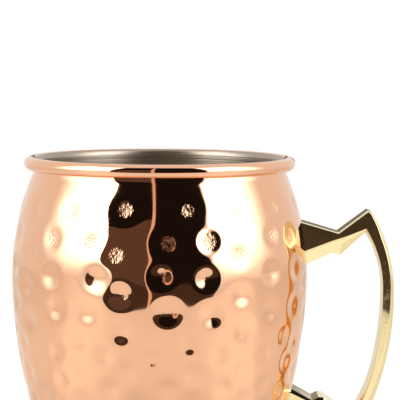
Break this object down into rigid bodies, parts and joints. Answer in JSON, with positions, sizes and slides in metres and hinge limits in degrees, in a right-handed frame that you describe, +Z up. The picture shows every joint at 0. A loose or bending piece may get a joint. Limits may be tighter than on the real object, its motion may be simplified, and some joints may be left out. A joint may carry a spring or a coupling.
{
  "type": "mug",
  "caption": "Barrel-shaped double-walled drinking mug: hammered copper shell with a curled lip, tapered steel lining and an angular cast brass handle.",
  "frame": {"origin": "centre of the mug's standing ring, on the surface it stands on", "axes": "+Z up along the mug's axis, +X towards the handle, +Y across the handle"},
  "size_m": [0.1232, 0.095, 0.098],
  "materials": {
    "hammered_copper": "mirror-polished copper sheet, hammered",
    "sheet_copper": "satin copper sheet",
    "tin_solder": "dull tin solder",
    "stainless_steel": "brushed around the axis",
    "cast_brass": "polished cast brass",
    "zinc_plated_steel": "bright zinc plate",
    "sheet_brass": "stamped, as rolled",
    "spring_steel": "oiled spring steel"
  },
  "bodies": {
    "root": {"outer_shell": "hammered_copper", "foot_disc": "sheet_copper", "foot_solder": "tin_solder", "liner": "stainless_steel", "lip_solder": "tin_solder", "handle": "cast_brass", "upper_screw": "zinc_plated_steel", "lower_screw": "zinc_plated_steel", "upper_saddle_washer": "sheet_brass", "lower_saddle_washer": "sheet_brass", "upper_spring_washer": "spring_steel", "lower_spring_washer": "spring_steel"}
  },
  "joints": []
}
